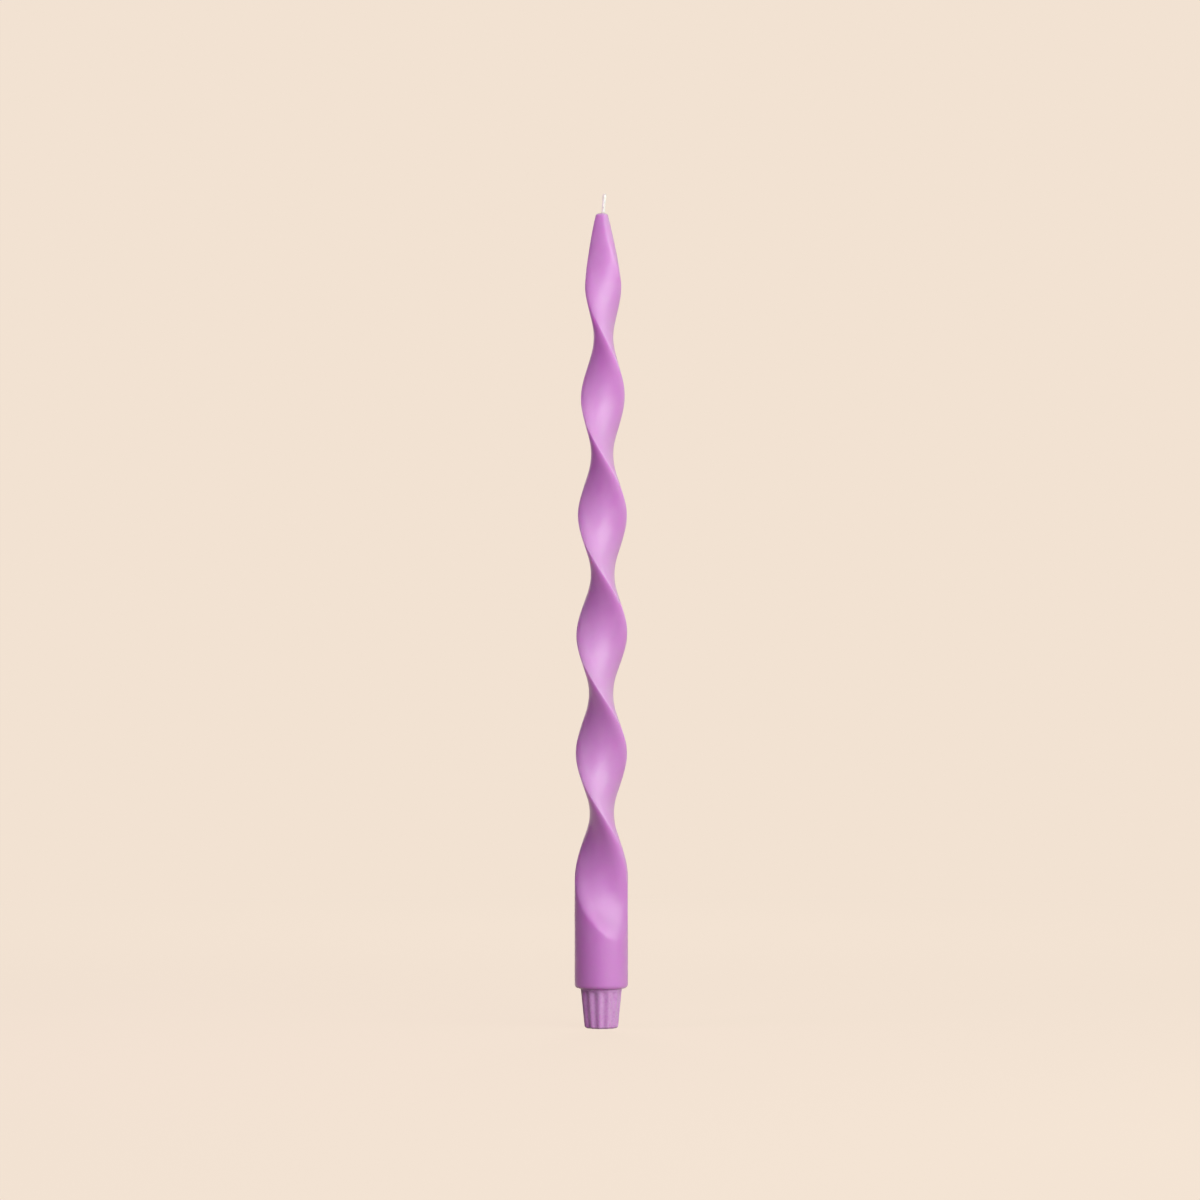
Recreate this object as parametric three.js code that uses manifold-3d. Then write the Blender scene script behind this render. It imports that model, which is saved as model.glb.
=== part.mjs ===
// A spiral candle: a wax taper whose stem is pressed to a flat section and twisted to the left,
// on a plain round base with a tapered, fluted foot. A cotton wick runs through it from end to end.
// Millimetres, +Z up. The origin is the middle of the foot's underside, and -Y is the front.
import * as THREE from 'three';
import Module from 'manifold-3d';

// Foot: the tapered plug that is pushed into a candle holder
const FOOT_HEIGHT = 16.5;
const FOOT_TOP_DIAMETER = 17.1;
const FOOT_BOTTOM_DIAMETER = 13.8;
const FOOT_EDGE_RADIUS = 1.0;
const FLUTE_COUNT = 12;
const FLUTE_DEPTH = 0.6;
const FLUTE_HEAD_GAP = 0.9; // plain band between a flute's arched head and the shoulder
const FLUTE_HEAD_HEIGHT = 1.6; // height over which a flute's head runs out to nothing
const FIRST_RIB_ANGLE = -96; // degrees about +Z, measured from +X

// Stem: from the shoulder above the foot to the blunt tip
const STEM_LENGTH = 320;
const STEM_DIAMETER = 22;
const SHOULDER_RADIUS = 1.6;
const TAPER_START = 90; // above the shoulder
const TAPER_LOSS = 5.16; // how much of its radius the stem would lose by the tip
const TAPER_POWER = 3.1; // a high power keeps the thinning to the upper part

// Tip: a short cone with a rounded end
const TIP_RADIUS = 2.75;
const TIP_SLOPE = 0.32; // growth of the radius for each millimetre below the tip
const TIP_EDGE_RADIUS = 1;
const TIP_BLEND = 6; // size of the rounding between cone and stem

// Pressed faces: two opposite crowned faces that meet at the ridges
const FACE_START = 23.3; // above the shoulder, where a face's middle leaves the round surface
const FACE_RUN = 79.8; // length over which the faces take their full form
const FACE_EASE = 8; // how early in that length they sink
const FACE_TIP_RUN = 56.2; // length below the tip over which they rise again
const FACE_TIP_EASE = 1.54; // how late in that length they rise
const FLATNESS = 0.457; // half thickness over half width where the faces are deepest
const FACE_CROWN = 0.692; // half width over the faces' own radius
const CROWN_SHARE_AT_ENDS = 0.285; // share of that curve where the faces start and end
const RIDGE_ROUNDING = 2.75;
const TIP_ROUNDING = 4.4; // how much more the ridges are rounded at the tip
const FACE_SHIFT = 0.22; // one face is pressed this much deeper than the other

// Twist: left-handed, so the faces turn clockwise on the way up
const TWIST_PITCH = 98.6; // height of one full turn
const TWIST_START = 14.2; // above the shoulder
const TWIST_RUN = 64.2; // length over which the twist reaches its full rate
const TWIST_EASE = 1.51; // 1 starts at the full rate, 2 gains on it evenly
const UNTWIST_RUN = 22; // length below the tip over which the twist dies out
const UNTWIST_EASE = 1.5; // 1 stops it at once, 2 slows it evenly
const FACE_ANGLE = -47; // degrees about +Z of the front face where the twist starts

// Bow: the soft wax leans a little to +X high up and comes back at the tip
const BOW = 0.716;
const BOW_START = 60; // above the shoulder
const BOW_RETURN_RUN = 26.8; // below the tip
const BOW_LEFT_AT_TIP = 0.25;

// Wick: a cotton cord in a bore that follows the bowed stem
const WICK_DIAMETER = 1.2;
const WICK_EXPOSED = 8;
const WICK_RECESS = 0.3; // its lower end lies this far inside the foot
const WICK_CLEARANCE = 0.25;
const WICK_DRIFT = 0.5; // how far off the middle it leaves the tip
const WICK_DRIFT_RUN = 60;
const WICK_LEAN = 0.65; // sideways reach of the part above the wax
const WICK_END_CHAMFER = 0.25;

// Fineness of the surfaces
const STEM_POINTS = 48;
const POINTS_PER_FLUTE = 6;
const LEVEL_SPACING = 4;
const RIDGE_CROWDING = 0.45; // draws a section's points towards the ridges
const ROUNDING_STEPS = 4;
const WICK_SIDES = 10;
const BORE_SIDES = 12;
const WICK_LEVEL_SPACING = 14;

const WAX_TOP = FOOT_HEIGHT + STEM_LENGTH;
const WICK_TOP = WAX_TOP + WICK_EXPOSED;
const STEM_RADIUS = STEM_DIAMETER / 2;
const BORE_RADIUS = WICK_DIAMETER / 2 + WICK_CLEARANCE;
const CLEAR_SHARE = 2; // a face this many half widths away no longer touches the section
const LEAST_CURVE = 0.02; // the faces are never quite flat, so that their radius stays finite
const JOIN_OVERLAP = 1; // how far the foot's solid reaches into the stem before they are joined
const BORE_OVERRUN = 2; // how far the bore's cutter passes the wax at both ends

const { degToRad, clamp, smoothstep } = THREE.MathUtils;

/** The smaller of two values, with the corner between them rounded over the given size. */
function softMin(a, b, rounding) {
  const near = Math.max(rounding - Math.abs(a - b), 0);
  return Math.min(a, b) - (near * near) / (4 * rounding);
}

/** Sideways place of the stem's middle line at height z. */
function bowAt(z) {
  const peak = WAX_TOP - BOW_RETURN_RUN;
  const out = smoothstep(z, FOOT_HEIGHT + BOW_START, peak);
  const back = smoothstep(z, peak, WAX_TOP);
  return BOW * out - (BOW - BOW_LEFT_AT_TIP) * back;
}

/** Half width of the stem at height z: straight, then thinning, then the rounded cone of the tip. */
function halfWidth(z) {
  const start = FOOT_HEIGHT + TAPER_START;
  const along = clamp((z - start) / (WAX_TOP - start), 0, 1);
  const stem = STEM_RADIUS - TAPER_LOSS * along ** TAPER_POWER;
  const below = WAX_TOP - z;
  const cone = softMin(stem, TIP_RADIUS + TIP_SLOPE * below, TIP_BLEND);
  const edge = Math.max(TIP_EDGE_RADIUS - below, 0);
  return cone - TIP_EDGE_RADIUS + Math.sqrt(TIP_EDGE_RADIUS ** 2 - edge ** 2);
}

/** How near height z is to the start of the faces: 1 there, above 1 below it, 0 beyond their run. */
function nearStart(z) {
  return Math.max(1 - (z - FOOT_HEIGHT - FACE_START) / FACE_RUN, 0);
}

/** How near height z is to the tip: 1 there, 0 where the faces begin to rise. */
function nearTip(z) {
  return clamp(1 - (WAX_TOP - z) / FACE_TIP_RUN, 0, 1);
}

/** Distance of a pressed face from the middle line at height z, as a share of the half width. */
function faceShare(z) {
  const left = nearStart(z) ** FACE_EASE + nearTip(z) ** FACE_TIP_EASE;
  return Math.min(FLATNESS + (1 - FLATNESS) * left, CLEAR_SHARE);
}

/** How deep the faces are at height z: 0 on the round base, 1 at their full depth. */
function faceDepth(z) {
  return clamp((1 - faceShare(z)) / (1 - FLATNESS), 0, 1);
}

/** The faces' curve at height z: half width over the faces' own radius. */
function faceCrown(z) {
  const flatter = 1 - CROWN_SHARE_AT_ENDS;
  const start = 1 - flatter * Math.min(nearStart(z), 1) ** 2;
  const tip = 1 - flatter * nearTip(z);
  return FACE_CROWN * start * tip * Math.max(faceDepth(z), LEAST_CURVE);
}

/** Size of the ridges' rounding at height z. */
function ridgeRounding(z) {
  return Math.min(RIDGE_ROUNDING + TIP_ROUNDING * nearTip(z), halfWidth(z));
}

/** Direction of the front face at height z, in radians about +Z. */
function faceAngle(z) {
  const above = Math.max(z - FOOT_HEIGHT - TWIST_START, 0);
  const run = Math.min(above / TWIST_RUN, 1);
  const slow = (TWIST_RUN * run ** TWIST_EASE) / TWIST_EASE;
  const full = Math.max(above - TWIST_RUN, 0);
  const end = clamp(1 - (WAX_TOP - z) / UNTWIST_RUN, 0, 1);
  const lost = (UNTWIST_RUN * end ** UNTWIST_EASE) / UNTWIST_EASE;
  return degToRad(FACE_ANGLE) - ((slow + full - lost) / TWIST_PITCH) * 2 * Math.PI;
}

/** Radius of the stem's section at height z, at an angle measured from the ridge. */
function sectionRadius(z, angle) {
  const round = halfWidth(z);
  const faceRadius = round / faceCrown(z);
  const centre = faceShare(z) * round - faceRadius;
  const sine = Math.abs(Math.sin(angle));
  const face = centre * sine + Math.sqrt(faceRadius ** 2 - centre ** 2 * (1 - sine ** 2));
  return softMin(round, face, ridgeRounding(z));
}

/** One closed ring of the stem at height z, whose points keep their place on the twisted faces. */
function stemRing(z) {
  const depth = faceDepth(z);
  const front = faceAngle(z);
  const ridge = front + Math.PI / 2;
  const shift = FACE_SHIFT * depth;
  const ring = [];
  for (let i = 0; i < STEM_POINTS; i += 1) {
    const even = (i / STEM_POINTS) * 2 * Math.PI;
    const angle = even - (RIDGE_CROWDING * depth * Math.sin(2 * even)) / 2;
    const radius = sectionRadius(z, angle);
    const x = bowAt(z) + radius * Math.cos(ridge + angle) - shift * Math.cos(front);
    const y = radius * Math.sin(ridge + angle) - shift * Math.sin(front);
    ring.push(new THREE.Vector3(x, y, z));
  }
  return ring;
}

/** One plain round ring. */
function roundRing(x, z, radius, sides) {
  const ring = [];
  for (let i = 0; i < sides; i += 1) {
    const angle = (i / sides) * 2 * Math.PI;
    ring.push(new THREE.Vector3(x + radius * Math.cos(angle), radius * Math.sin(angle), z));
  }
  return ring;
}

/** A closed solid through rings with equal point counts, from the lowest to the highest. */
function loft(rings) {
  const count = rings[0].length;
  const positions = rings.flat().flatMap((point) => point.toArray());
  const faces = [];
  for (let level = 0; level + 1 < rings.length; level += 1) {
    for (let i = 0; i < count; i += 1) {
      const a = level * count + i;
      const b = level * count + ((i + 1) % count);
      faces.push(a, b, b + count, a, b + count, a + count);
    }
  }
  const middle = positions.length / 3;
  for (const ring of [rings[0], rings[rings.length - 1]]) {
    const centre = ring.reduce((sum, point) => sum.add(point), new THREE.Vector3());
    positions.push(...centre.divideScalar(count).toArray());
  }
  const top = (rings.length - 1) * count;
  for (let i = 0; i < count; i += 1) {
    const next = (i + 1) % count;
    faces.push(middle, next, i, middle + 1, top + i, top + next);
  }
  const geometry = new THREE.BufferGeometry();
  geometry.setAttribute('position', new THREE.Float32BufferAttribute(positions, 3));
  geometry.setIndex(faces);
  return geometry;
}

/** Heights from low to high in even steps no longer than the spacing, both ends included. */
function levels(low, high, spacing) {
  const steps = Math.ceil((high - low) / spacing);
  return Array.from({ length: steps + 1 }, (_, i) => low + ((high - low) * i) / steps);
}

/** The twisted stem, from its rounded shoulder to the rounded tip. */
function stem() {
  const rings = [];
  for (let i = 0; i < ROUNDING_STEPS; i += 1) {
    const turn = (i / ROUNDING_STEPS) * (Math.PI / 2);
    const z = FOOT_HEIGHT + SHOULDER_RADIUS * (1 - Math.cos(turn));
    const radius = STEM_RADIUS - SHOULDER_RADIUS * (1 - Math.sin(turn));
    const ring = stemRing(FOOT_HEIGHT);
    for (const point of ring) {
      point.multiplyScalar(radius / STEM_RADIUS).setZ(z);
    }
    rings.push(ring);
  }
  const tipEdge = WAX_TOP - TIP_EDGE_RADIUS;
  for (const z of levels(FOOT_HEIGHT + SHOULDER_RADIUS, tipEdge, LEVEL_SPACING)) {
    rings.push(stemRing(z));
  }
  for (let i = 1; i <= ROUNDING_STEPS; i += 1) {
    const turn = (i / ROUNDING_STEPS) * (Math.PI / 2);
    rings.push(stemRing(tipEdge + TIP_EDGE_RADIUS * Math.sin(turn)));
  }
  return loft(rings);
}

/** Radius of the foot's ribs at height z, with the lower edge rounded. */
function ribRadius(z) {
  const bottom = FOOT_BOTTOM_DIAMETER / 2;
  const top = FOOT_TOP_DIAMETER / 2;
  const plain = bottom + ((top - bottom) * z) / FOOT_HEIGHT;
  const edge = Math.max(FOOT_EDGE_RADIUS - z, 0);
  return plain - FOOT_EDGE_RADIUS + Math.sqrt(FOOT_EDGE_RADIUS ** 2 - edge ** 2);
}

/** Share of the full flute depth at height z: 1 below the arched heads, 0 above them. */
function fluteShare(z) {
  const head = FOOT_HEIGHT - FLUTE_HEAD_GAP - FLUTE_HEAD_HEIGHT;
  const into = clamp((z - head) / FLUTE_HEAD_HEIGHT, 0, 1);
  return Math.sqrt(1 - into ** 2);
}

/** One closed ring of the foot at height z, with its ribs and flutes. */
function footRing(z) {
  const ring = [];
  const count = FLUTE_COUNT * POINTS_PER_FLUTE;
  for (let i = 0; i < count; i += 1) {
    const turn = (i / count) * 2 * Math.PI;
    const valley = (1 - Math.cos(FLUTE_COUNT * turn)) / 2;
    const radius = ribRadius(z) - FLUTE_DEPTH * fluteShare(z) * valley;
    const angle = turn + degToRad(FIRST_RIB_ANGLE);
    ring.push(new THREE.Vector3(radius * Math.cos(angle), radius * Math.sin(angle), z));
  }
  return ring;
}

/** The tapered foot, long enough to overlap the stem that it is joined to. */
function foot() {
  const rings = [];
  for (let i = 0; i < ROUNDING_STEPS; i += 1) {
    const turn = (i / ROUNDING_STEPS) * (Math.PI / 2);
    rings.push(footRing(FOOT_EDGE_RADIUS * (1 - Math.cos(turn))));
  }
  const head = FOOT_HEIGHT - FLUTE_HEAD_GAP - FLUTE_HEAD_HEIGHT;
  rings.push(footRing(FOOT_EDGE_RADIUS));
  for (let i = 0; i <= ROUNDING_STEPS; i += 1) {
    const turn = (i / ROUNDING_STEPS) * (Math.PI / 2);
    rings.push(footRing(head + FLUTE_HEAD_HEIGHT * Math.sin(turn)));
  }
  rings.push(footRing(FOOT_HEIGHT + JOIN_OVERLAP));
  return loft(rings);
}

/** Sideways place of the wick's middle line at height z, inside the wax and above it. */
function wickAt(z) {
  const drift = WICK_DRIFT * smoothstep(z, WAX_TOP - WICK_DRIFT_RUN, WAX_TOP);
  const above = Math.max(z - WAX_TOP, 0) / WICK_EXPOSED;
  return bowAt(Math.min(z, WAX_TOP)) + drift + WICK_LEAN * above;
}

/** A tube round the wick's middle line. */
function wickTube(heights, radius, sides) {
  return heights.map((z) => roundRing(wickAt(z), z, radius, sides));
}

/** The cotton wick, from just inside the foot's underside to its free end. */
function wick() {
  const radius = WICK_DIAMETER / 2;
  const inside = levels(WICK_RECESS, WAX_TOP, WICK_LEVEL_SPACING);
  const above = [WICK_TOP - WICK_END_CHAMFER];
  const rings = wickTube([...inside, ...above], radius, WICK_SIDES);
  rings.push(roundRing(wickAt(WICK_TOP), WICK_TOP, radius - WICK_END_CHAMFER, WICK_SIDES));
  return loft(rings);
}

/** The cutter of the wick's bore, which runs past the wax at both ends. */
function bore() {
  const inside = levels(0, WAX_TOP, WICK_LEVEL_SPACING);
  const heights = [-BORE_OVERRUN, ...inside, WAX_TOP + BORE_OVERRUN];
  return loft(wickTube(heights, BORE_RADIUS, BORE_SIDES));
}

const wasm = await Module();
wasm.setup();

/** A solid for joining and cutting, made from a closed indexed geometry. */
function solid(geometry) {
  const vertProperties = new Float32Array(geometry.attributes.position.array);
  const triVerts = new Uint32Array(geometry.index.array);
  return new wasm.Manifold(new wasm.Mesh({ numProp: 3, vertProperties, triVerts }));
}

/** The geometry of a finished solid. */
function geometryOf(body) {
  const mesh = body.getMesh();
  const geometry = new THREE.BufferGeometry();
  geometry.setAttribute('position', new THREE.BufferAttribute(mesh.vertProperties, 3));
  geometry.setIndex(new THREE.BufferAttribute(mesh.triVerts, 1));
  geometry.computeVertexNormals();
  return geometry;
}

/** The wax: stem and foot in one casting, with the bore of the wick through it. */
function waxBody() {
  const wax = solid(stem()).add(solid(foot())).subtract(solid(bore()));
  return geometryOf(wax);
}

const dyedWax = new THREE.MeshStandardMaterial({ color: '#c883c4', roughness: 0.45, metalness: 0 });
const cottonWick = new THREE.MeshStandardMaterial({ color: '#f4efe4', roughness: 0.9, metalness: 0 });

const waxMesh = new THREE.Mesh(waxBody(), dyedWax);
waxMesh.name = 'wax_body';
const wickMesh = new THREE.Mesh(wick(), cottonWick);
wickMesh.name = 'wick';

const candle = new THREE.Group();
candle.name = 'spiral_candle';
candle.add(waxMesh, wickMesh);

export default candle;
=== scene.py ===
"""Looks of a spiral candle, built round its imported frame.

Objects are in metres, in the frame's own axes: +Z up, the middle of the foot's underside at the
origin, the viewer on the -Y side. The fields of the classes are real sizes in millimetres.
"""
import logging
import math
from dataclasses import dataclass, field
from enum import Enum
from typing import Any

import bpy
import numpy as np
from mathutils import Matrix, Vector


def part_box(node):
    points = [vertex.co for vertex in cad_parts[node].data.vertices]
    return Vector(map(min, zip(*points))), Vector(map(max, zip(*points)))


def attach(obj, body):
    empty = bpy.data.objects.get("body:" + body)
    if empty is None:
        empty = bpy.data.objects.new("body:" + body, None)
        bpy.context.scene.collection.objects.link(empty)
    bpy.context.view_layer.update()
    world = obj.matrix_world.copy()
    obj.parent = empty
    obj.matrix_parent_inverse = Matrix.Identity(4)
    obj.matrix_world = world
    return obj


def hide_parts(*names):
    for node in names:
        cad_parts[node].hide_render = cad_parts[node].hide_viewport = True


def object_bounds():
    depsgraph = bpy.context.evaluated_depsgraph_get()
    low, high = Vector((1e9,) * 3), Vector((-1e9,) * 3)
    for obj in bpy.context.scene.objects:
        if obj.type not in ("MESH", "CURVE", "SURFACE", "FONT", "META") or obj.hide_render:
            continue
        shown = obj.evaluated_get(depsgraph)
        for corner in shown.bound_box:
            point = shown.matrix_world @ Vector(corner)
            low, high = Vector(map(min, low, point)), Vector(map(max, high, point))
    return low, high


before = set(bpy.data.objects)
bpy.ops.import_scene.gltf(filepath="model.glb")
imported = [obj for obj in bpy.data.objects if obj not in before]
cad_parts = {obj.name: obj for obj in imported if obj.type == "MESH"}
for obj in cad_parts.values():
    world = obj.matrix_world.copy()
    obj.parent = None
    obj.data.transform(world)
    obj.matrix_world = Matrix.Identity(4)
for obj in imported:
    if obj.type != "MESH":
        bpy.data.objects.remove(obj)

log = logging.getLogger("candle")
CAD_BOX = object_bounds()
MM = 0.001
TURN = 2 * math.pi
Array = np.ndarray

# How far red, green and blue light spread, as shares of the scatter depth: the dye stops green first.
DYED_SPREAD = (1.0, 0.55, 0.9)
UNDYED_SPREAD = (1.0, 0.95, 0.9)


class Slot(Enum):
    """The record's material slots."""

    WAX = "dyed_wax"
    WICK = "cotton_wick"


def linear(hex_colour: str) -> tuple[float, float, float, float]:
    """Turns an sRGB hex colour into Blender's linear colour.

    Args:
        hex_colour: a colour such as "#C883C4".

    Returns:
        Linear red, green, blue and an alpha of 1.
    """
    channels = [int(hex_colour[i : i + 2], 16) / 255 for i in (1, 3, 5)]
    red, green, blue = (c / 12.92 if c <= 0.04045 else ((c + 0.055) / 1.055) ** 2.4 for c in channels)
    return red, green, blue, 1.0


def add_node(
    tree: bpy.types.NodeTree, kind: str, settings: dict[str, Any], inputs: dict[Any, Any]
) -> bpy.types.Node:
    """Adds one shader node.

    Args:
        tree: the node tree that it goes into.
        kind: Blender's name of the node type.
        settings: the node's own options, by attribute name.
        inputs: a value or another node's output socket for each input, by name or number.

    Returns:
        The new node.
    """
    node = tree.nodes.new(kind)
    for name, value in settings.items():
        setattr(node, name, value)
    for name, value in inputs.items():
        if isinstance(value, bpy.types.NodeSocket):
            tree.links.new(value, node.inputs[name])
        else:
            node.inputs[name].default_value = value
    return node


def new_material(name: str) -> tuple[bpy.types.Material, bpy.types.NodeTree, bpy.types.Node]:
    """Makes an empty node material.

    Args:
        name: the material's name.

    Returns:
        The material, its node tree and its output node.
    """
    material = bpy.data.materials.new(name)
    material.use_nodes = True
    tree = material.node_tree
    tree.nodes.clear()
    return material, tree, add_node(tree, "ShaderNodeOutputMaterial", {}, {})


def smooth_step(value: Array, low: float, high: float) -> Array:
    """Rises smoothly from 0 at low to 1 at high.

    Args:
        value: where to work it out.
        low: where the rise starts.
        high: where the rise ends.

    Returns:
        The risen share at each value.
    """
    share = np.clip((value - low) / (high - low), 0, 1)
    return share * share * (3 - 2 * share)


def soft_min(first: Array, second: Array, rounding: Array) -> Array:
    """Takes the smaller of two values and rounds the corner between them.

    Args:
        first: one value.
        second: the other value.
        rounding: size of the rounded corner.

    Returns:
        The rounded minimum.
    """
    near = np.maximum(rounding - np.abs(first - second), 0)
    return np.minimum(first, second) - near * near / (4 * rounding)


def loft_object(name: str, rings: list[Array], closed: bool) -> bpy.types.Object:
    """Makes a smooth mesh object through rings with equal point counts.

    Args:
        name: the object's name.
        rings: arrays of points in millimetres, one row for each point, counter-clockwise from above.
        closed: True joins the last ring to the first, False closes each end with a fan.

    Returns:
        The new object, linked to the scene.
    """
    count = len(rings[0])
    points = np.concatenate(rings)
    faces: list[tuple[int, ...]] = []
    spans = len(rings) if closed else len(rings) - 1
    for level in range(spans):
        low, high = level * count, ((level + 1) % len(rings)) * count
        for i in range(count):
            j = (i + 1) % count
            faces.append((low + i, low + j, high + j, high + i))
    if not closed:
        ends = np.array([rings[0].mean(0), rings[-1].mean(0)])
        bottom, top, last = len(points), len(points) + 1, (len(rings) - 1) * count
        points = np.concatenate([points, ends])
        faces += [(bottom, (i + 1) % count, i) for i in range(count)]
        faces += [(top, last + i, last + (i + 1) % count) for i in range(count)]
    mesh = bpy.data.meshes.new(name)
    mesh.from_pydata((points * MM).tolist(), [], faces)
    mesh.validate()
    mesh.shade_smooth()
    piece = bpy.data.objects.new(name, mesh)
    bpy.context.scene.collection.objects.link(piece)
    return piece


def store(piece: bpy.types.Object, name: str, values: Array) -> None:
    """Stores one number for each vertex of a piece, for its material to read."""
    attribute = piece.data.attributes.new(name, "FLOAT", "POINT")
    attribute.data.foreach_set("value", values.astype(np.float32))


@dataclass(frozen=True)
class DyedCandleWax:
    """Paraffin candle wax, dyed through, drawn and pressed while warm.

    The skin is satin from the press, and light sinks a few millimetres into the cloudy wax, which
    softens the shading. A thin pale film lies on the wax in random patches. Where the wax faces up
    it is painted paler, as a painted highlight, and where it faces down it is painted darker, as
    painted shade. The ridges are paler, partly from wear and partly as a painted highlight. Towards
    the foot the paler tones fade out. Faint streaks run along the stem from the drawing.
    """

    name: str = "dyed_candle_wax_satin"
    # Paler end: pale patches of film and the painted highlight on up-facing wax; darker end: the dye with
    # painted shade on down-facing wax.
    pale_bloom_and_light: str = "#D9A4D8"
    deep_dye_and_shade: str = "#D38AD2"
    # Ridge colour: partly wear, partly a painted highlight along the ridges.
    rubbed_and_highlight: str = "#DEABDC"
    ior: float = 1.46
    smoothest: float = 0.25
    roughest: float = 0.37
    scatter_depth: float = 4.5
    # Tilt at which up-facing wax gets its full painted highlight and down-facing wax its full painted shade.
    painted_light_tilt: float = 0.35
    bloom_and_light_start: float = 0.25
    patch_share: float = 0.5
    # How much the paler tones fade out towards the foot.
    near_foot_share: float = 0.6
    rubbed_and_highlight_share: float = 0.35
    patch_size: float = 9.0
    streak_size: float = 0.5
    streak_squeeze: float = 0.12
    streak_height: float = 0.006

    def build(self) -> bpy.types.Material:
        """Builds the node material."""
        material, tree, output = new_material(self.name)
        coordinates = add_node(tree, "ShaderNodeTexCoord", {}, {}).outputs
        patches = add_node(
            tree, "ShaderNodeTexNoise", {},
            {
                "Vector": coordinates["Object"],
                "Scale": 1 / (self.patch_size * MM),
                "Detail": 4.0,
                "Roughness": 0.55,
            },
        )
        tilt = add_node(tree, "ShaderNodeSeparateXYZ", {}, {"Vector": coordinates["Normal"]})
        # Faces that point up are painted paler and faces that point down darker: painted light and shade by
        # tilt.
        painted_light_by_tilt = add_node(
            tree, "ShaderNodeMapRange", {"clamp": False},
            {"Value": tilt.outputs["Z"], "From Min": -self.painted_light_tilt, "From Max": self.painted_light_tilt},
        )
        # Random pale patches together with the painted light and shade by tilt.
        uneven = add_node(
            tree, "ShaderNodeMath", {"operation": "MULTIPLY_ADD"},
            {0: patches.outputs["Fac"], 1: self.patch_share, 2: painted_light_by_tilt.outputs["Result"]},
        )
        # Towards the foot the paler tones fade out.
        near_foot = add_node(tree, "ShaderNodeAttribute", {"attribute_name": "near_foot"}, {})
        faded_near_foot = add_node(
            tree, "ShaderNodeMath", {"operation": "MULTIPLY_ADD"},
            {0: near_foot.outputs["Fac"], 1: -self.near_foot_share, 2: uneven.outputs[0]},
        )
        bloom_and_painted_light = add_node(
            tree, "ShaderNodeMath", {"operation": "SUBTRACT", "use_clamp": True},
            {0: faded_near_foot.outputs[0], 1: self.bloom_and_light_start},
        )
        # Mixes the darker end, dye and painted shade, with the paler end, pale patches and painted
        # highlight.
        dye = add_node(
            tree, "ShaderNodeMix", {"data_type": "RGBA"},
            {0: bloom_and_painted_light.outputs[0], 6: linear(self.deep_dye_and_shade), 7: linear(self.pale_bloom_and_light)},
        )
        # Ridges are painted paler: partly wear, partly a painted highlight along them.
        ridge = add_node(tree, "ShaderNodeAttribute", {"attribute_name": "ridge"}, {})
        rub_and_highlight = add_node(
            tree, "ShaderNodeMath", {"operation": "MULTIPLY"},
            {0: ridge.outputs["Fac"], 1: self.rubbed_and_highlight_share},
        )
        colour = add_node(
            tree, "ShaderNodeMix", {"data_type": "RGBA"},
            {0: rub_and_highlight.outputs[0], 6: dye.outputs[2], 7: linear(self.rubbed_and_highlight)},
        )
        along = add_node(
            tree, "ShaderNodeMapping", {},
            {"Vector": coordinates["Object"], "Scale": (1.0, 1.0, self.streak_squeeze)},
        )
        streaks = add_node(
            tree, "ShaderNodeTexNoise", {},
            {"Vector": along.outputs["Vector"], "Scale": 1 / (self.streak_size * MM), "Detail": 3.0},
        )
        roughness = add_node(
            tree, "ShaderNodeMapRange", {},
            {"Value": patches.outputs["Fac"], "To Min": self.smoothest, "To Max": self.roughest},
        )
        bump = add_node(
            tree, "ShaderNodeBump", {},
            {"Height": streaks.outputs["Fac"], "Strength": 1.0, "Distance": self.streak_height * MM},
        )
        wax = add_node(
            tree, "ShaderNodeBsdfPrincipled", {},
            {
                "Base Color": colour.outputs[2],
                "Roughness": roughness.outputs["Result"],
                "IOR": self.ior,
                "Normal": bump.outputs["Normal"],
                "Subsurface Weight": 1.0,
                "Subsurface Radius": DYED_SPREAD,
                "Subsurface Scale": self.scatter_depth * MM,
            },
        )
        tree.links.new(wax.outputs["BSDF"], output.inputs["Surface"])
        return material


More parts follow.
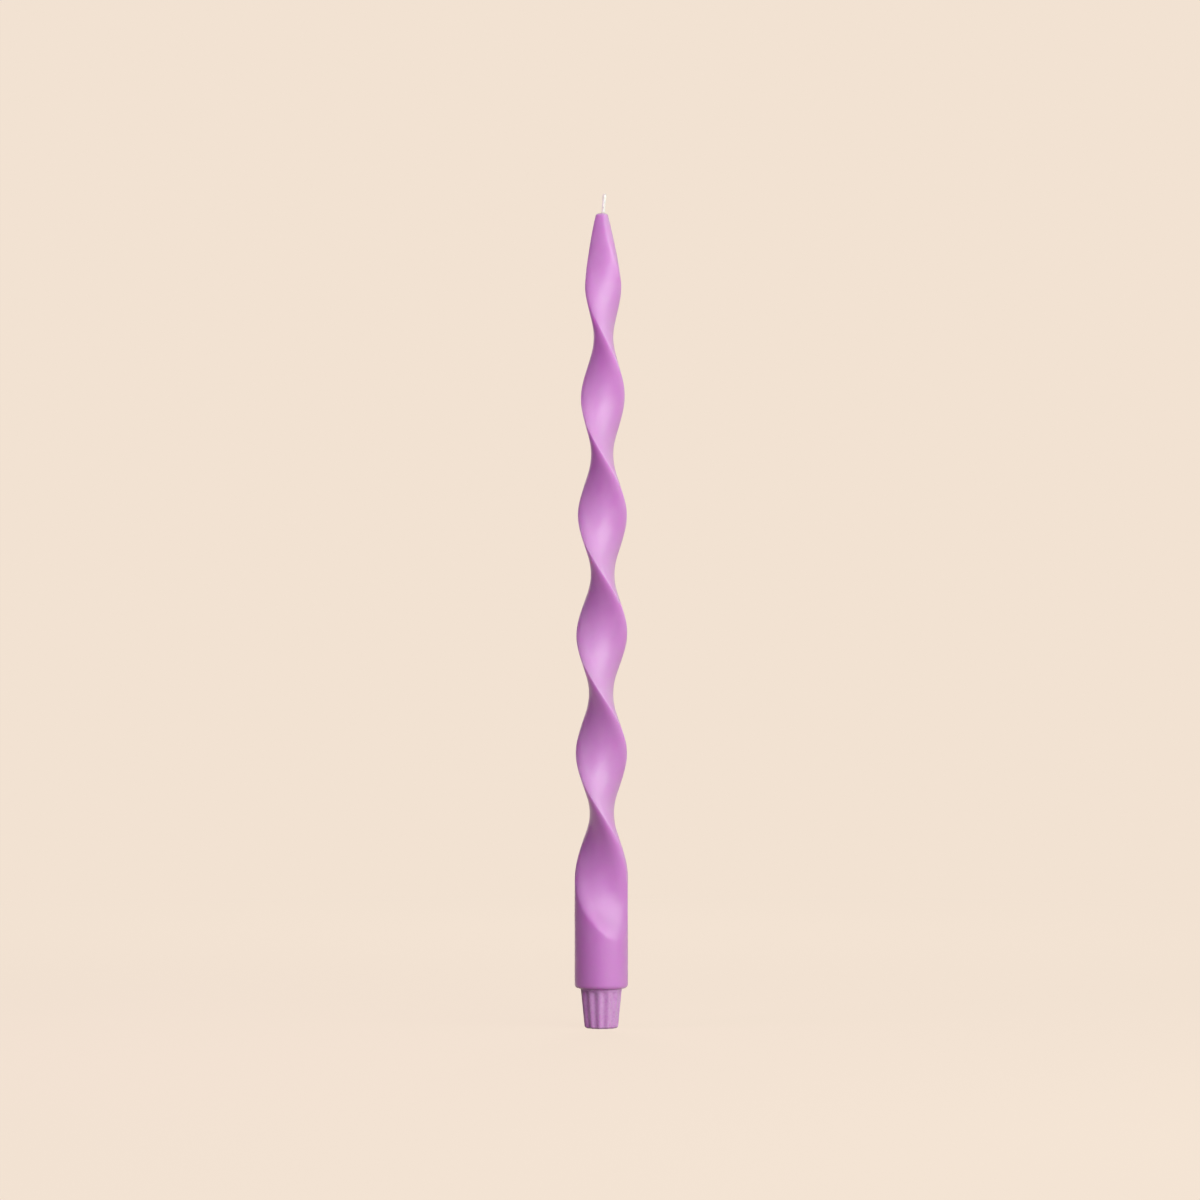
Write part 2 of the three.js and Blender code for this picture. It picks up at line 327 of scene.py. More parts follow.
@dataclass(frozen=True)
class MilledCandleWax:
    """The same dyed wax where a cutter has milled the foot.

    The cut breaks the wax into fine crumbs, so the foot is paler and duller than the pressed skin,
    with lighter flecks and a few darker pits.
    """

    name: str = "dyed_candle_wax_milled"
    lilac: str = "#D69DD4"
    fleck: str = "#DCAADA"
    pit: str = "#CC8FC9"
    ior: float = 1.44
    roughness: float = 0.62
    scatter_depth: float = 0.8
    fleck_size: float = 0.9
    crumb_size: float = 0.3
    crumb_height: float = 0.014
    pit_stop: float = 0.3
    lilac_stop: float = 0.46
    fleck_stop: float = 0.7

    def build(self) -> bpy.types.Material:
        """Builds the node material."""
        material, tree, output = new_material(self.name)
        place = add_node(tree, "ShaderNodeTexCoord", {}, {}).outputs["Object"]
        flecks = add_node(
            tree, "ShaderNodeTexNoise", {},
            {"Vector": place, "Scale": 1 / (self.fleck_size * MM), "Detail": 5.0, "Roughness": 0.65},
        )
        ramp = add_node(tree, "ShaderNodeValToRGB", {}, {"Fac": flecks.outputs["Fac"]})
        stops = ramp.color_ramp.elements
        stops[0].position, stops[0].color = self.pit_stop, linear(self.pit)
        stops[1].position, stops[1].color = self.fleck_stop, linear(self.fleck)
        middle = stops.new(self.lilac_stop)
        middle.color = linear(self.lilac)
        crumbs = add_node(
            tree, "ShaderNodeTexNoise", {},
            {"Vector": place, "Scale": 1 / (self.crumb_size * MM), "Detail": 4.0, "Roughness": 0.7},
        )
        bump = add_node(
            tree, "ShaderNodeBump", {},
            {"Height": crumbs.outputs["Fac"], "Strength": 1.0, "Distance": self.crumb_height * MM},
        )
        wax = add_node(
            tree, "ShaderNodeBsdfPrincipled", {},
            {
                "Base Color": ramp.outputs["Color"],
                "Roughness": self.roughness,
                "IOR": self.ior,
                "Normal": bump.outputs["Normal"],
                "Subsurface Weight": 1.0,
                "Subsurface Radius": DYED_SPREAD,
                "Subsurface Scale": self.scatter_depth * MM,
            },
        )
        tree.links.new(wax.outputs["BSDF"], output.inputs["Surface"])
        return material


@dataclass(frozen=True)
class WaxedCotton:
    """Bleached cotton yarn, braided and primed with clear wax.

    The yarns stay matt and cream-white, and the wax between them lets a little light through.
    """

    name: str = "cotton_braid_waxed"
    cotton: str = "#FDF8F0"
    shadow: str = "#F6EEE2"
    ior: float = 1.47
    roughness: float = 0.6
    sheen: float = 0.15
    milkiness: float = 0.8
    scatter_depth: float = 0.4
    fibre_size: float = 0.12
    fibre_squeeze: float = 0.25
    fibre_height: float = 0.02

    def build(self) -> bpy.types.Material:
        """Builds the node material."""
        material, tree, output = new_material(self.name)
        place = add_node(tree, "ShaderNodeTexCoord", {}, {}).outputs["Object"]
        squeeze = add_node(
            tree, "ShaderNodeMapping", {}, {"Vector": place, "Scale": (1.0, 1.0, self.fibre_squeeze)},
        )
        fibres = add_node(
            tree, "ShaderNodeTexNoise", {},
            {"Vector": squeeze.outputs["Vector"], "Scale": 1 / (self.fibre_size * MM), "Detail": 3.0},
        )
        colour = add_node(
            tree, "ShaderNodeMix", {"data_type": "RGBA"},
            {0: fibres.outputs["Fac"], 6: linear(self.shadow), 7: linear(self.cotton)},
        )
        bump = add_node(
            tree, "ShaderNodeBump", {},
            {"Height": fibres.outputs["Fac"], "Strength": 1.0, "Distance": self.fibre_height * MM},
        )
        cotton = add_node(
            tree, "ShaderNodeBsdfPrincipled", {},
            {
                "Base Color": colour.outputs[2],
                "Roughness": self.roughness,
                "IOR": self.ior,
                "Normal": bump.outputs["Normal"],
                "Subsurface Weight": self.milkiness,
                "Subsurface Radius": UNDYED_SPREAD,
                "Subsurface Scale": self.scatter_depth * MM,
                "Sheen Weight": self.sheen,
            },
        )
        tree.links.new(cotton.outputs["BSDF"], output.inputs["Surface"])
        return material


@dataclass(frozen=True)
class PrimingWax:
    """Clear undyed wax that the wick was dipped in: a thin milky coat, smoother than the cotton."""

    name: str = "priming_wax_clear"
    milk: str = "#FBF5EA"
    ior: float = 1.44
    roughness: float = 0.3
    milkiness: float = 0.8
    scatter_depth: float = 0.6
    lump_size: float = 0.5
    lump_height: float = 0.03

    def build(self) -> bpy.types.Material:
        """Builds the node material."""
        material, tree, output = new_material(self.name)
        place = add_node(tree, "ShaderNodeTexCoord", {}, {}).outputs["Object"]
        lumps = add_node(
            tree, "ShaderNodeTexNoise", {},
            {"Vector": place, "Scale": 1 / (self.lump_size * MM), "Detail": 2.0},
        )
        bump = add_node(
            tree, "ShaderNodeBump", {},
            {"Height": lumps.outputs["Fac"], "Strength": 1.0, "Distance": self.lump_height * MM},
        )
        wax = add_node(
            tree, "ShaderNodeBsdfPrincipled", {},
            {
                "Base Color": linear(self.milk),
                "Roughness": self.roughness,
                "IOR": self.ior,
                "Normal": bump.outputs["Normal"],
                "Subsurface Weight": self.milkiness,
                "Subsurface Radius": UNDYED_SPREAD,
                "Subsurface Scale": self.scatter_depth * MM,
            },
        )
        tree.links.new(wax.outputs["BSDF"], output.inputs["Surface"])
        return material


@dataclass(frozen=True)
class StudioPaper:
    """Cream studio paper, matt and even, which fills the view behind the candle.

    To the camera and in reflections it shows mostly its own even colour, with a faint shadow near the
    candle. What it throws back on the wax is darker, like light from paper in half shade.
    """

    name: str = "studio_paper_cream"
    cream: str = "#F2E2D2"
    half_shade: str = "#857A74"
    own_light: float = 0.88
    lift: float = 1.05
    shadow_reach: float = 250.0
    fade_reach: float = 900.0

    def seen(self, tree: bpy.types.NodeTree) -> bpy.types.NodeSocket:
        """Adds the test for rays that see the paper: 1 from the camera, in gloss and through glass."""
        path = add_node(tree, "ShaderNodeLightPath", {}, {})
        gloss = add_node(
            tree, "ShaderNodeMath", {"operation": "MAXIMUM"},
            {0: path.outputs["Is Camera Ray"], 1: path.outputs["Is Glossy Ray"]},
        )
        glass = add_node(
            tree, "ShaderNodeMath", {"operation": "MAXIMUM"},
            {0: gloss.outputs[0], 1: path.outputs["Is Transmission Ray"]},
        )
        return glass.outputs[0]

    def build(self) -> bpy.types.Material:
        """Builds the floor's material."""
        material, tree, output = new_material(self.name)
        seen = self.seen(tree)
        place = add_node(tree, "ShaderNodeTexCoord", {}, {}).outputs["Object"]
        distance = add_node(tree, "ShaderNodeVectorMath", {"operation": "LENGTH"}, {0: place})
        own = add_node(
            tree, "ShaderNodeMapRange", {"interpolation_type": "SMOOTHSTEP"},
            {
                "Value": distance.outputs["Value"],
                "From Min": self.shadow_reach * MM,
                "From Max": self.fade_reach * MM,
                "To Min": self.own_light,
                "To Max": 1.0,
            },
        )
        strength = add_node(
            tree, "ShaderNodeMapRange", {"interpolation_type": "SMOOTHSTEP"},
            {
                "Value": distance.outputs["Value"],
                "From Min": self.shadow_reach * MM,
                "From Max": self.fade_reach * MM,
                "To Min": self.lift,
                "To Max": 1.0,
            },
        )
        colour = add_node(
            tree, "ShaderNodeMix", {"data_type": "RGBA"},
            {0: seen, 6: linear(self.half_shade), 7: linear(self.cream)},
        )
        paper = add_node(tree, "ShaderNodeBsdfDiffuse", {}, {"Color": colour.outputs[2]})
        glow = add_node(
            tree, "ShaderNodeEmission", {},
            {"Color": linear(self.cream), "Strength": strength.outputs["Result"]},
        )
        share = add_node(
            tree, "ShaderNodeMath", {"operation": "MULTIPLY"}, {0: seen, 1: own.outputs["Result"]},
        )
        mix = add_node(
            tree, "ShaderNodeMixShader", {},
            {0: share.outputs[0], 1: paper.outputs[0], 2: glow.outputs[0]},
        )
        tree.links.new(mix.outputs[0], output.inputs["Surface"])
        return material


@dataclass(frozen=True)
class BlackFelt:
    """Black felt on the panels that keep stray light off: matt, and nearly no light comes back."""

    name: str = "felt_black"
    black: str = "#141414"

    def build(self) -> bpy.types.Material:
        """Builds the node material."""
        material, tree, output = new_material(self.name)
        felt = add_node(tree, "ShaderNodeBsdfDiffuse", {}, {"Color": linear(self.black), "Roughness": 1.0})
        tree.links.new(felt.outputs[0], output.inputs["Surface"])
        return material


@dataclass
class WaxBody:
    """The wax casting: twisted stem, round base, shoulder and fluted foot, with the wick's bore."""

    foot_height: float = 16.5
    foot_top_diameter: float = 17.1
    foot_bottom_diameter: float = 13.8
    foot_edge_radius: float = 1.0
    foot_fillet: float = 0.5
    flute_count: int = 12
    flute_depth: float = 0.6
    flute_head_gap: float = 0.9
    flute_head_height: float = 1.6
    first_rib_angle: float = -96.0
    shoulder_radius: float = 1.6
    shoulder_levels: int = 8
    taper_start: float = 90.0
    taper_loss: float = 5.16
    taper_power: float = 3.1
    tip_radius: float = 2.75
    tip_slope: float = 0.32
    tip_edge_radius: float = 1.0
    tip_blend: float = 6.0
    face_start: float = 23.3
    face_run: float = 79.8
    face_ease: float = 8.0
    face_tip_run: float = 56.2
    face_tip_ease: float = 1.54
    flatness: float = 0.457
    clear_share: float = 2.0
    face_crown: float = 0.692
    crown_share_at_ends: float = 0.285
    least_curve: float = 0.02
    ridge_rounding: float = 2.75
    tip_rounding: float = 4.4
    face_shift: float = 0.22
    twist_pitch: float = 98.6
    twist_start: float = 14.2
    twist_run: float = 64.2
    twist_ease: float = 1.51
    untwist_run: float = 22.0
    untwist_ease: float = 1.5
    face_angle_at_start: float = -47.0
    bow: float = 0.716
    bow_start: float = 60.0
    bow_return_run: float = 26.8
    bow_left_at_tip: float = 0.25
    wick_drift: float = 0.5
    wick_drift_run: float = 60.0
    bore_radius: float = 0.72
    bore_levels: int = 60
    bore_margin: float = 0.3
    collar_height: float = 0.3
    collar_wall: float = 0.08
    collar_steepness: float = 2.2
    collar_levels: int = 9
    primed_levels_outside: int = 5
    primed_levels_inside: int = 4
    unevenness: float = 0.035
    unevenness_at_base: float = 0.4
    long_wave: float = 17.0
    long_swell: float = 23.0
    short_wave: float = 7.3
    short_swell: float = 5.1
    rubbed_and_highlight_reach: float = 1.9
    near_foot_fade: tuple[float, float] = (30.0, 110.0)
    points: int = 192
    level_spacing: float = 0.8
    ridge_crowding: float = 0.45
    wax: DyedCandleWax = field(default_factory=DyedCandleWax)
    milled: MilledCandleWax = field(default_factory=MilledCandleWax)
    primed_rim: PrimingWax = field(default_factory=lambda: PrimingWax(name="priming_wax_rim"))

    def __post_init__(self) -> None:
        """Takes the overall sizes from the frame."""
        low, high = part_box("wax_body")
        self.top = high.z / MM
        self.stem_radius = (high.y - low.y) / 2 / MM
        self.even = np.arange(self.points) / self.points * TURN

    def bow_at(self, z: float) -> float:
        """Gives the sideways place of the middle line at height z."""
        peak = self.top - self.bow_return_run
        out = smooth_step(z, self.foot_height + self.bow_start, peak)
        back = smooth_step(z, peak, self.top)
        return self.bow * out - (self.bow - self.bow_left_at_tip) * back

    def wick_at(self, z: float) -> float:
        """Gives the sideways place of the wick inside the wax at height z."""
        return self.bow_at(z) + self.wick_drift * smooth_step(z, self.top - self.wick_drift_run, self.top)

    def half_width(self, z: float) -> float:
        """Gives the stem's half width at height z: straight, thinning, then the rounded tip."""
        start = self.foot_height + self.taper_start
        along = np.clip((z - start) / (self.top - start), 0, 1)
        stem = self.stem_radius - self.taper_loss * along**self.taper_power
        below = self.top - z
        cone = soft_min(stem, self.tip_radius + self.tip_slope * below, self.tip_blend)
        edge = max(self.tip_edge_radius - below, 0)
        return cone - self.tip_edge_radius + math.sqrt(self.tip_edge_radius**2 - edge**2)

    def face_share(self, z: float) -> float:
        """Gives a face's distance from the middle line at height z, as a share of the half width."""
        left = max(1 - (z - self.foot_height - self.face_start) / self.face_run, 0)
        rise = max(1 - (self.top - z) / self.face_tip_run, 0)
        share = left**self.face_ease + min(rise, 1) ** self.face_tip_ease
        return min(self.flatness + (1 - self.flatness) * share, self.clear_share)

    def face_depth(self, z: float) -> float:
        """Gives how deep the faces are at height z, from 0 on the round base to 1."""
        return float(np.clip((1 - self.face_share(z)) / (1 - self.flatness), 0, 1))

    def crown_at(self, z: float) -> float:
        """Gives a face's curve at height z: the half width over the face's own radius."""
        left = np.clip(1 - (z - self.foot_height - self.face_start) / self.face_run, 0, 1)
        near_tip = np.clip(1 - (self.top - z) / self.face_tip_run, 0, 1)
        flatter = 1 - self.crown_share_at_ends
        share = (1 - flatter * left**2) * (1 - flatter * near_tip)
        return self.face_crown * share * max(self.face_depth(z), self.least_curve)

    def rounding_at(self, z: float) -> float:
        """Gives the size of the ridges' rounding at height z, which grows towards the tip."""
        near_tip = np.clip(1 - (self.top - z) / self.face_tip_run, 0, 1)
        return min(self.ridge_rounding + self.tip_rounding * near_tip, self.half_width(z))

    def face_angle(self, z: float) -> float:
        """Gives the direction of the front face at height z, in radians about +Z."""
        above = max(z - self.foot_height - self.twist_start, 0)
        run = min(above / self.twist_run, 1)
        height = self.twist_run * run**self.twist_ease / self.twist_ease + max(above - self.twist_run, 0)
        end = min(max(1 - (self.top - z) / self.untwist_run, 0), 1)
        height -= self.untwist_run * end**self.untwist_ease / self.untwist_ease
        return math.radians(self.face_angle_at_start) - height / self.twist_pitch * TURN

    def uneven(self, angle: Array, z: float) -> Array:
        """Gives the slight lumps of hand-pressed wax.

        Args:
            angle: directions about +Z, in radians.
            z: height.

        Returns:
            How far the surface stands out at each angle.
        """
        long_lumps = np.sin(2 * angle + z / self.long_wave) * np.sin(z / self.long_swell + 0.7)
        short_lumps = np.sin(3 * angle - z / self.short_wave + 1.9) * np.sin(z / self.short_swell + angle)
        return self.unevenness * (0.6 * long_lumps + 0.4 * short_lumps)

    def stem_ring(self, z: float) -> tuple[Array, Array]:
        """Works out one ring of the stem.

        Args:
            z: height of the ring.

        Returns:
            The ring's points, and how near each one is to a pressed ridge, from 0 to 1.
        """
        depth = self.face_depth(z)
        front = self.face_angle(z)
        angle = self.even - self.ridge_crowding * depth * np.sin(2 * self.even) / 2
        round_radius = self.half_width(z)
        face_radius = round_radius / self.crown_at(z)
        centre = self.face_share(z) * round_radius - face_radius
        sine = np.abs(np.sin(angle))
        face = centre * sine + np.sqrt(face_radius**2 - centre**2 * (1 - sine**2))
        radius = soft_min(round_radius, face, self.rounding_at(z))
        turned = front + math.pi / 2 + angle
        radius = radius + self.uneven(turned, z) * min(depth + self.unevenness_at_base, 1)
        shift = self.face_shift * depth
        x = self.bow_at(z) + radius * np.cos(turned) - shift * math.cos(front)
        y = radius * np.sin(turned) - shift * math.sin(front)
        # How near each point is to a ridge, which the wax paints paler: partly wear, partly a painted
        # highlight.
        ridge = depth * np.exp(-((sine * round_radius / self.rubbed_and_highlight_reach) ** 2))
        return np.stack([x, y, np.full(self.points, z)], 1), ridge

    def round_ring(self, z: float, radius: Array, x: float = 0.0) -> Array:
        """Works out one ring about an upright line.

        Args:
            z: height of the ring.
            radius: the radius, one for all points or one for each.
            x: sideways place of the ring's middle.

        Returns:
            The ring's points, which line up with the stem's lowest ring.
        """
        angle = self.base_angles()
        return np.stack([x + radius * np.cos(angle), radius * np.sin(angle), np.full(self.points, z)], 1)

    def base_angles(self) -> Array:
        """Gives the directions of the points of the stem's lowest ring."""
        return self.face_angle(self.foot_height) + math.pi / 2 + self.even

    def rib_radius(self, z: float) -> float:
        """Gives the radius over the foot's ribs at height z."""
        bottom, top = self.foot_bottom_diameter / 2, self.foot_top_diameter / 2
        plain = bottom + (top - bottom) * z / self.foot_height
        edge = max(self.foot_edge_radius - z, 0)
        return plain - self.foot_edge_radius + math.sqrt(self.foot_edge_radius**2 - edge**2)

    def foot_ring(self, z: float) -> Array:
        """Works out one ring of the foot, with its ribs and the flutes that run out in arched heads."""
        head = self.foot_height - self.flute_head_gap - self.flute_head_height
        into = min(max((z - head) / self.flute_head_height, 0), 1)
        angle = self.base_angles() - math.radians(self.first_rib_angle)
        valley = (1 - np.cos(self.flute_count * angle)) / 2
        depth = self.flute_depth * math.sqrt(1 - into**2)
        return self.round_ring(z, self.rib_radius(z) - depth * valley)

    def foot_rings(self) -> list[Array]:
        """Works out the underside, the foot and the shoulder, from the bore's lower mouth up."""
        edge, fillet, shoulder = self.foot_edge_radius, self.foot_fillet, self.shoulder_radius
        outer = self.foot_ring(0.0)
        mouth = self.round_ring(0.0, self.bore_radius)
        rings = [mouth + (outer - mouth) * share for share in np.linspace(0, 1, 8)[:-1]]
        rings += [self.foot_ring(edge * (1 - math.cos(turn))) for turn in np.linspace(0, math.pi / 2, 9)]
        upper = self.foot_height - fillet
        rings += [self.foot_ring(z) for z in np.linspace(edge, upper, 40)[1:]]
        start = self.rib_radius(upper)
        for turn in np.linspace(0, math.pi / 2, 7)[1:]:
            radius = start + fillet * (1 - math.cos(turn))
            rings.append(self.round_ring(upper + fillet * math.sin(turn), radius))
        for turn in np.linspace(0, math.pi / 2, self.shoulder_levels + 1)[:-1]:
            radius = self.stem_radius - shoulder * (1 - math.sin(turn))
            rings.append(self.round_ring(self.foot_height + shoulder * (1 - math.cos(turn)), radius))
        return rings

    def collar_rings(self) -> list[Array]:
        """Works out the wax that creeps up round the wick, from the tip's rim to the bore's mouth."""
        rim, _ = self.stem_ring(self.top)
        radius = self.bore_radius + self.collar_wall
        top = self.round_ring(self.top + self.collar_height, radius, self.wick_at(self.top))
        rings = []
        for share in np.linspace(0, 1, self.collar_levels + 1)[1:]:
            ring = rim + (top - rim) * share
            ring[:, 2] = self.top + self.collar_height * share**self.collar_steepness
            rings.append(ring)
        return rings

    def build(self) -> bpy.types.Object:
        """Builds the casting as one closed mesh.

        Returns:
            The wax piece, in place.
        """
        rings = self.foot_rings()
        foot_levels = len(rings)
        ridges = [np.zeros(self.points)] * foot_levels
        lowest = self.foot_height + self.shoulder_radius
        tip_edge = self.top - self.tip_edge_radius
        heights = list(np.arange(lowest, tip_edge, self.level_spacing))
        turns = np.linspace(0, math.pi / 2, 12)
        heights += [tip_edge + self.tip_edge_radius * math.sin(turn) for turn in turns]
        for z in heights:
            ring, ridge = self.stem_ring(float(z))
            rings.append(ring)
            ridges.append(ridge)
        rings += self.collar_rings()
        mouth = len(rings)
        top = self.top + self.collar_height
        for z in np.linspace(top - self.bore_margin, self.bore_margin, self.bore_levels):
            rings.append(self.round_ring(float(z), self.bore_radius, self.wick_at(min(float(z), self.top))))
        ridges += [np.zeros(self.points)] * (len(rings) - len(ridges))
        piece = loft_object("wax", rings, closed=True)
        store(piece, "ridge", np.concatenate(ridges))
        # Towards the foot the wax's paler tones fade out.
        store(piece, "near_foot", 1 - smooth_step(np.concatenate(rings)[:, 2], *self.near_foot_fade))
        self.dress(piece, foot_levels, mouth)
        return piece

    def dress(self, piece: bpy.types.Object, foot_levels: int, mouth: int) -> None:
        """Gives the pressed skin, the milled foot and the primed wax at the wick their finishes.

        Args:
            piece: the wax mesh.
            foot_levels: how many rings, counted from the bore's lower mouth, lie below the stem.
            mouth: how many rings lie below the bore's upper mouth.
        """
        for finish in (self.wax, self.milled, self.primed_rim):
            piece.data.materials.append(finish.build())
        milled_levels = foot_levels - self.shoulder_levels
        primed_from, primed_to = mouth - self.primed_levels_outside, mouth + self.primed_levels_inside
        for polygon in piece.data.polygons:
            level = polygon.index // self.points
            if level < milled_levels:
                polygon.material_index = 1
            elif primed_from <= level < primed_to:
                polygon.material_index = 2
        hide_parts("wax_body")
        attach(piece, "root")


@dataclass
class Wick:
    """The braided wick: three plied strands and the priming wax on their free end."""

    body: WaxBody
    diameter: float = 1.4
    recess: float = 0.3
    lean: float = 0.65
    strands: int = 3
    braid_pitch: float = 4.2
    braid_depth_share: float = 0.62
    strand_radius: float = 0.43
    plies: int = 5
    ply_relief: float = 0.07
    ply_pitch: float = 3.1
    sides: int = 20
    step: float = 0.35
    bead_length: float = 2.6
    bead_overrun: float = 0.15
    bead_start: float = 0.6
    bead_radius: float = 0.8
    bead_widest: float = 0.55
    bead_close: float = 0.98
    bead_depth_share: float = 0.9
    bead_levels: int = 24
    bead_sides: int = 32
    cotton: WaxedCotton = field(default_factory=WaxedCotton)
    priming: PrimingWax = field(default_factory=PrimingWax)

    def __post_init__(self) -> None:
        """Takes the wick's top from the frame."""
        self.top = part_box("wick")[1].z / MM

    def middle(self, z: float) -> float:
        """Gives the sideways place of the wick at height z, in the wax and above it."""
        above = max(z - self.body.top, 0) / (self.top - self.body.top)
        return self.body.wick_at(min(z, self.body.top)) + self.lean * above

    def strand_rings(self, number: int) -> list[Array]:
        """Works out one strand of the braid.

        Args:
            number: which strand, from 0.

        Returns:
            Rings of points along the strand.
        """
        reach = self.diameter / 2 - self.strand_radius
        around = np.arange(self.sides) / self.sides * TURN
        rings = []
        for z in np.arange(self.recess, self.top, self.step):
            phase = TURN * (z / self.braid_pitch + number / self.strands)
            x = self.middle(float(z)) + reach * math.sin(phase)
            y = self.braid_depth_share * reach * math.sin(2 * phase)
            lobes = 1 + self.ply_relief * np.cos(self.plies * around + TURN * z / self.ply_pitch)
            radius = self.strand_radius * lobes
            ring = [x + radius * np.cos(around), y + radius * np.sin(around), np.full(self.sides, z)]
            rings.append(np.stack(ring, 1))
        return rings

    def build(self) -> list[bpy.types.Object]:
        """Builds the strands and the bead.

        Returns:
            The pieces of the wick, in place.
        """
        cotton = self.cotton.build()
        pieces = []
        for number in range(self.strands):
            strand = loft_object(f"wick_strand_{number + 1}", self.strand_rings(number), closed=False)
            strand.data.materials.append(cotton)
            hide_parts("wick")
            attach(strand, "root")
            pieces.append(strand)
        pieces.append(self.bead())
        return pieces

    def bead(self) -> bpy.types.Object:
        """Builds the drop of priming wax that the wick's end was dipped in."""
        around = np.arange(self.bead_sides) / self.bead_sides * TURN
        low = self.top - self.bead_length
        rings = []
        for share in np.linspace(0.0, 1.0, self.bead_levels):
            z = low + (self.bead_length + self.bead_overrun) * share
            rise = smooth_step(share, 0.0, self.bead_widest)
            fall = max((share - self.bead_widest) / (1 - self.bead_widest), 0)
            swell = self.bead_start + (self.bead_radius - self.bead_start) * rise
            radius = swell * math.sqrt(1 - self.bead_close * fall**2)
            x = self.middle(z) + radius * np.cos(around)
            y = self.bead_depth_share * radius * np.sin(around)
            rings.append(np.stack([x, y, np.full(self.bead_sides, z)], 1))
        piece = loft_object("wick_wax_bead", rings, closed=False)
        piece.data.materials.append(self.priming.build())
        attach(piece, "root")
        return piece


@dataclass
class SoftBox:
    """One soft studio lamp, aimed at the candle.

    The azimuth turns from the viewer's side towards the candle's right. Without glare the lamp lights
    the wax but leaves no sheen on it, much as one behind a polarising filter would.
    """

    name: str
    azimuth: float
    elevation: float
    width: float
    height: float
    power: float
    distance: float = 1300.0
    raised: float = 0.0
    colour: str = "#FFFFFF"
    glare: bool = True

    def build(self, middle: Vector) -> bpy.types.Object:
        """Builds the lamp.

        Args:
            middle: the candle's middle; the lamp faces the point that lies `raised` above it.

        Returns:
            The lamp object.
        """
        data = bpy.data.lights.new(self.name, "AREA")
        data.shape = "RECTANGLE"
        data.size, data.size_y = self.width * MM, self.height * MM
        data.energy = self.power
        data.color = linear(self.colour)[:3]
        lamp = bpy.data.objects.new(self.name, data)
        bpy.context.scene.collection.objects.link(lamp)
        turn, rise = math.radians(self.azimuth), math.radians(self.elevation)
        away = Vector((math.sin(turn) * math.cos(rise), -math.cos(turn) * math.cos(rise), math.sin(rise)))
        target = middle + Vector((0.0, 0.0, self.raised * MM))
        lamp.location = target + away * self.distance * MM
        lamp.rotation_mode = "QUATERNION"
        lamp.rotation_quaternion = away.to_track_quat("Z", "Y")
        lamp.visible_camera = False
        lamp.visible_glossy = self.glare
        return lamp


@dataclass
class FeltPanel:
    """One upright panel of black felt beside the set, out of the camera's sight."""

    name: str
    azimuth: float
    distance: float
    width: float
    height: float
    felt: BlackFelt = field(default_factory=BlackFelt)

    def build(self) -> bpy.types.Object:
        """Builds the panel.

        Returns:
            The panel, hidden from the camera.
        """
        turn = math.radians(self.azimuth)
        middle = Vector((math.sin(turn), -math.cos(turn), 0.0)) * self.distance * MM
        along = Vector((math.cos(turn), math.sin(turn), 0.0)) * self.width / 2 * MM
        up = Vector((0.0, 0.0, self.height * MM))
        corners = [middle - along, middle + along, middle + along + up, middle - along + up]
        mesh = bpy.data.meshes.new(self.name)
        mesh.from_pydata([tuple(corner) for corner in corners], [], [(0, 1, 2, 3)])
        panel = bpy.data.objects.new(self.name, mesh)
        bpy.context.scene.collection.objects.link(panel)
        mesh.materials.append(self.felt.build())
        panel.visible_camera = False
        return panel


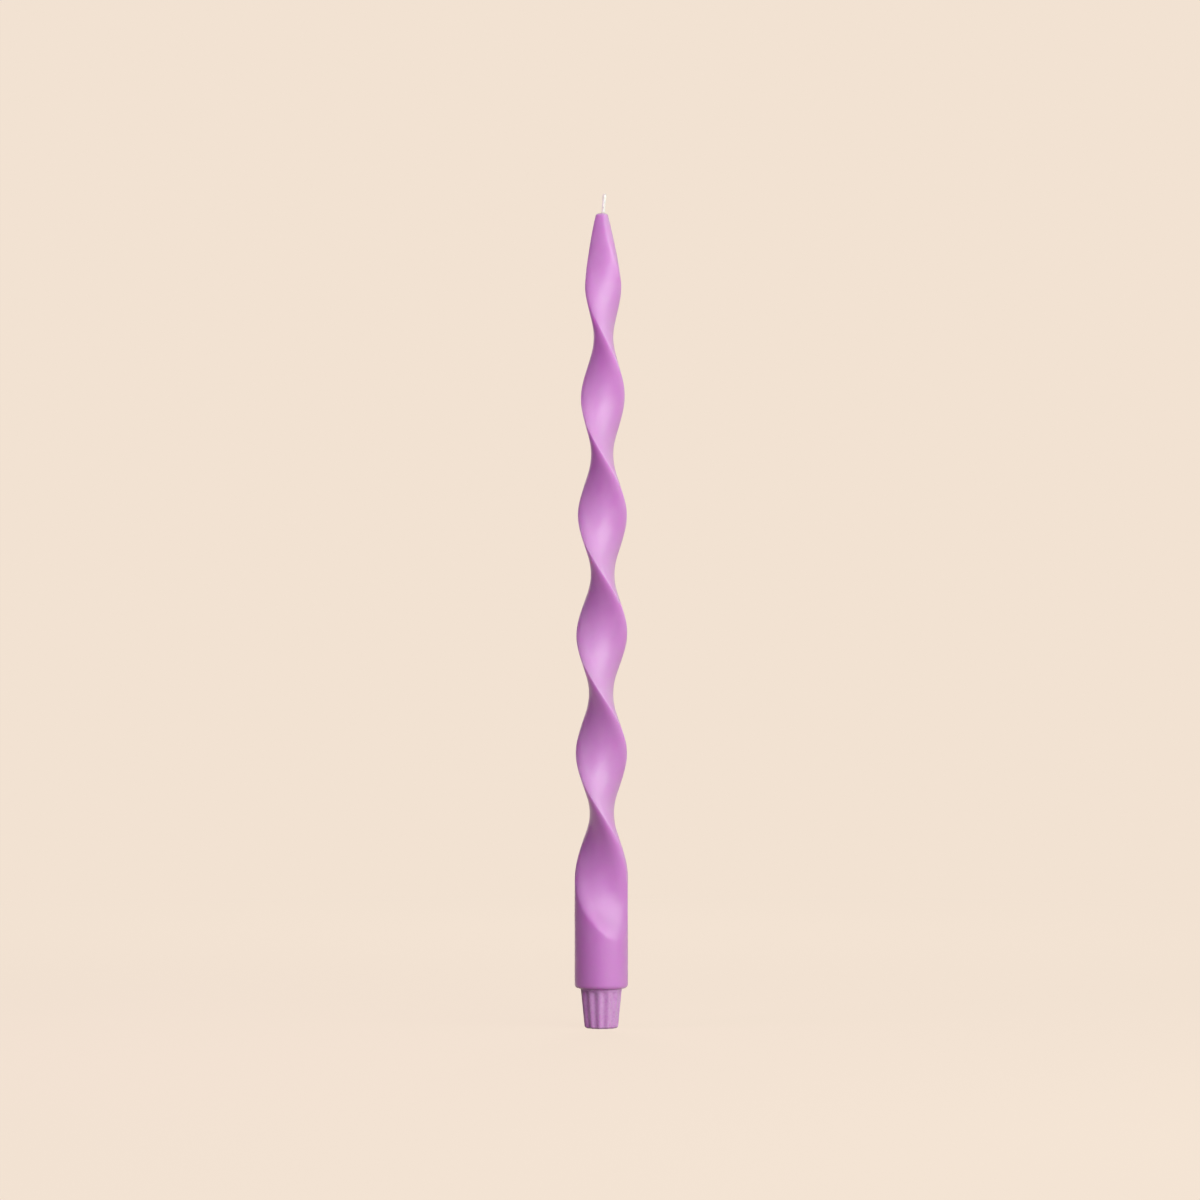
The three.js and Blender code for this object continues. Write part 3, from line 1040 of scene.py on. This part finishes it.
@dataclass
class Studio:
    """The floor, the surroundings, the lamps and the camera at the photograph's place."""

    floor_radius: float = 9000.0
    floor_sides: int = 96
    photo_pixels: float = 1200.0
    pixel_size: float = 0.4132
    focal_pixels: float = 5000.0
    eye_height: float = 176.8
    eye_side: float = -0.54
    sensor: float = 36.0
    clip_near: float = 50.0
    clip_far: float = 50000.0
    surroundings: float = 0.04
    pale_green_gel: str = "#F8FFF8"
    green_gel: str = "#F2FFF2"
    lilac_gel: str = "#EFDBFF"
    pink_gel: str = "#FFD0FD"
    paper: StudioPaper = field(default_factory=StudioPaper)

    def lamps(self) -> list[SoftBox]:
        """Lists the lamps: two softboxes on the right, one behind and weaker ones round the candle."""
        return [
            SoftBox("key_softbox", 30, 12, width=700, height=800, power=9.3, colour=self.pale_green_gel),
            SoftBox("side_softbox", 60, 12, width=700, height=800, power=7.9, colour=self.green_gel),
            SoftBox("front_strip", 0, 2, width=700, height=260, power=2.4, colour=self.lilac_gel),
            SoftBox("top_softbox", 0, 45, width=700, height=700, power=1.5),
            SoftBox("back_softbox", 180, 20, width=700, height=500, power=8.0, glare=False),
            SoftBox(
                "near_left", -60, 20, width=250, height=250, power=0.95,
                distance=450, raised=160, colour=self.pink_gel, glare=False,
            ),
        ]

    def panels(self) -> list[FeltPanel]:
        """Lists the felt panels: one keeps the candle's left side dark, three darken the camera's side."""
        panels = [FeltPanel("felt_left", -100, distance=700, width=1600, height=1200)]
        for number, turn in enumerate((-60, 0, 60), start=1):
            panels.append(FeltPanel(f"felt_curtain_{number}", turn, distance=2700, width=3200, height=2400))
        return panels

    def build(self) -> None:
        """Builds the studio."""
        self.build_floor()
        self.build_world()
        low, high = CAD_BOX
        middle = (low + high) / 2
        for lamp in self.lamps():
            lamp.build(middle)
        for panel in self.panels():
            panel.build()
        self.build_camera()

    def build_floor(self) -> None:
        """Builds the plain floor under the candle."""
        radius = self.floor_radius * MM
        around = np.arange(self.floor_sides) / self.floor_sides * TURN
        points = [(radius * math.cos(turn), radius * math.sin(turn), 0.0) for turn in around]
        mesh = bpy.data.meshes.new("floor")
        mesh.from_pydata(points, [], [tuple(range(self.floor_sides))])
        floor = bpy.data.objects.new("floor", mesh)
        bpy.context.scene.collection.objects.link(floor)
        mesh.materials.append(self.paper.build())

    def build_world(self) -> None:
        """Builds even surroundings that look like the paper and light the candle softly."""
        world = bpy.data.worlds.new("studio")
        bpy.context.scene.world = world
        world.use_nodes = True
        tree = world.node_tree
        tree.nodes.clear()
        cream = add_node(
            tree, "ShaderNodeBackground", {}, {"Color": linear(self.paper.cream), "Strength": 1.0},
        )
        soft = add_node(
            tree, "ShaderNodeBackground", {}, {"Color": (1.0, 1.0, 1.0, 1.0), "Strength": self.surroundings},
        )
        mix = add_node(
            tree, "ShaderNodeMixShader", {},
            {0: self.paper.seen(tree), 1: soft.outputs[0], 2: cream.outputs[0]},
        )
        add_node(tree, "ShaderNodeOutputWorld", {}, {"Surface": mix.outputs[0]})

    def build_camera(self) -> None:
        """Builds the camera at the photograph's height, distance and angle of view."""
        data = bpy.data.cameras.new("camera")
        data.sensor_width = self.sensor
        data.lens = self.focal_pixels / self.photo_pixels * self.sensor
        data.clip_start, data.clip_end = self.clip_near * MM, self.clip_far * MM
        camera = bpy.data.objects.new("camera", data)
        bpy.context.scene.collection.objects.link(camera)
        distance = self.focal_pixels * self.pixel_size
        camera.location = Vector((self.eye_side, -distance, self.eye_height)) * MM
        camera.rotation_euler = (math.pi / 2, 0.0, 0.0)
        bpy.context.scene.camera = camera


def main() -> None:
    """Builds the studio, the wax and the wick in order and reports each piece."""
    logging.basicConfig(level=logging.INFO, format="%(name)s: %(message)s")
    bpy.context.scene.view_settings.view_transform = "Standard"
    Studio().build()
    body = WaxBody()
    pieces = [body.build(), *Wick(body).build()]
    for piece in pieces:
        finish = piece.data.materials[0].name
        log.info("%s has %d vertices and %s", piece.name, len(piece.data.vertices), finish)


if __name__ == "__main__":
    main()
